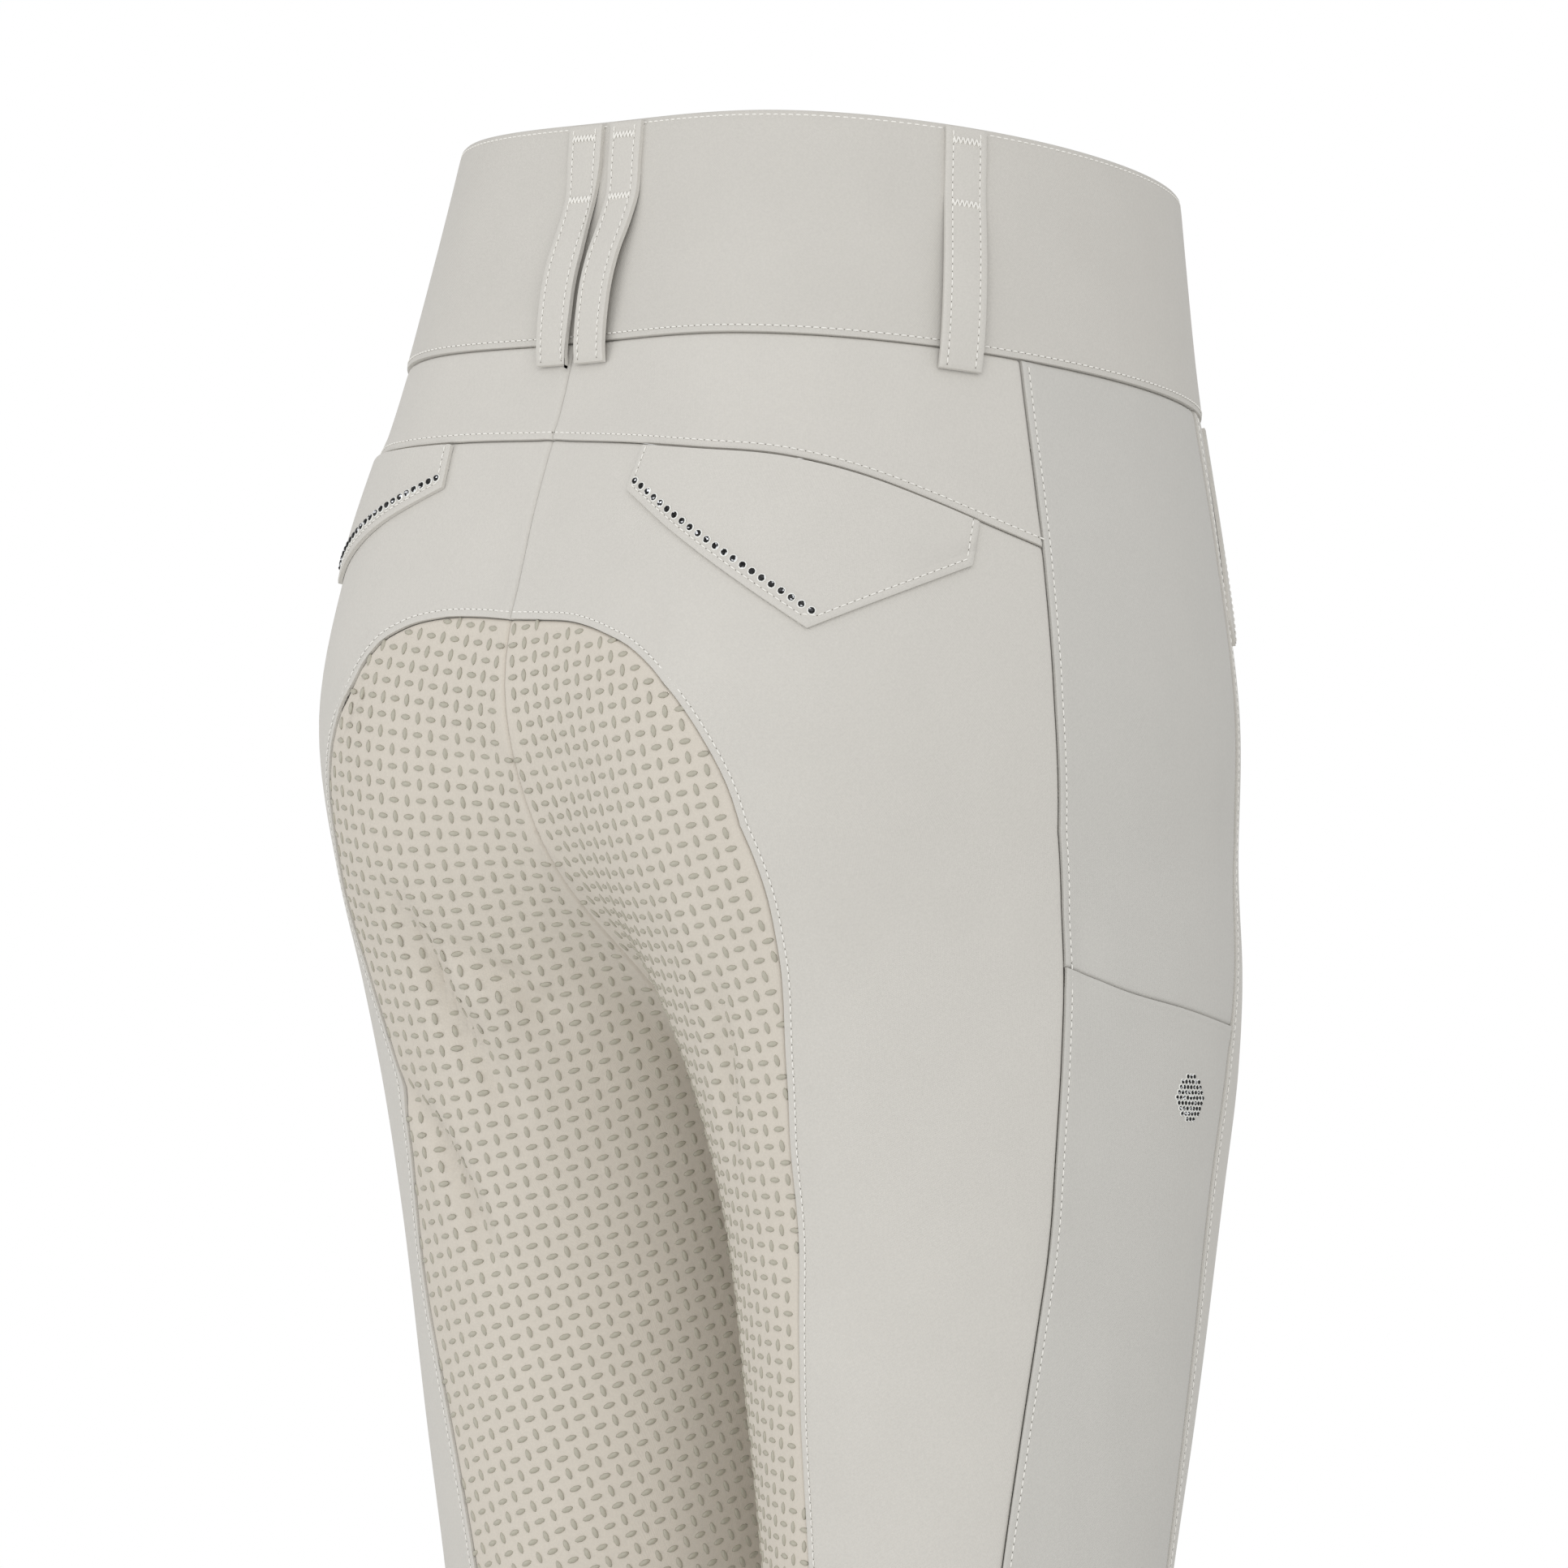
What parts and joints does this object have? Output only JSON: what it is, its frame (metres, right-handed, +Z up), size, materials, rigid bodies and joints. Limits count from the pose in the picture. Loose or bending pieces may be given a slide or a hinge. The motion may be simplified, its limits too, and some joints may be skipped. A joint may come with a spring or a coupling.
{
  "type": "riding breeches",
  "caption": "High-waisted full-seat riding breeches, filled out as worn with no wearer: wide waistband, back yokes, pointed pocket flaps, thigh pockets, gripping seat and inner legs.",
  "frame": {"origin": "centre of the waist opening, level with the waist edge at the sides", "axes": "+Z up the wearer's body, -Y towards the front, -X towards the wearer's right"},
  "size_m": [0.3072, 0.255, 0.9861],
  "materials": {
    "main_cloth": "matt technical stretch knit, fine close grain, pale stone grey",
    "band_cloth": "the same stretch knit in two layers, smooth and matt",
    "grip_cloth": "warm stone stretch knit printed with small raised silicone beads",
    "stitching": "off-white polyester topstitching",
    "silicone": "translucent grey-beige silicone, low glossy domes",
    "crystal": "small faceted dark foil-backed crystals",
    "button": "moulded plastic button, satin"
  },
  "bodies": {
    "root": {"waistband": "band_cloth", "waist_button_1": "button", "waist_button_2": "button", "belt_loop_back_right": "main_cloth", "belt_loop_back_left": "main_cloth", "belt_loop_side_right": "main_cloth", "belt_loop_side_left": "main_cloth", "belt_loop_front_right": "main_cloth", "belt_loop_front_left": "main_cloth", "fly": "main_cloth", "yoke_right": "main_cloth", "yoke_left": "main_cloth", "back_right": "main_cloth", "back_upper_left": "main_cloth", "back_lower_left": "main_cloth", "pocket_flap_right": "main_cloth", "pocket_flap_left": "main_cloth", "side_upper_right": "main_cloth", "side_upper_left": "main_cloth", "side_lower_right": "main_cloth", "side_lower_left": "main_cloth", "front_upper_right": "main_cloth", "front_upper_left": "main_cloth", "front_lower_right": "main_cloth", "front_lower_left": "main_cloth", "front_pocket_right": "main_cloth", "front_pocket_left": "main_cloth", "grip_upper_right": "grip_cloth", "grip_lower_right": "grip_cloth", "grip_left": "grip_cloth"}
  },
  "joints": []
}
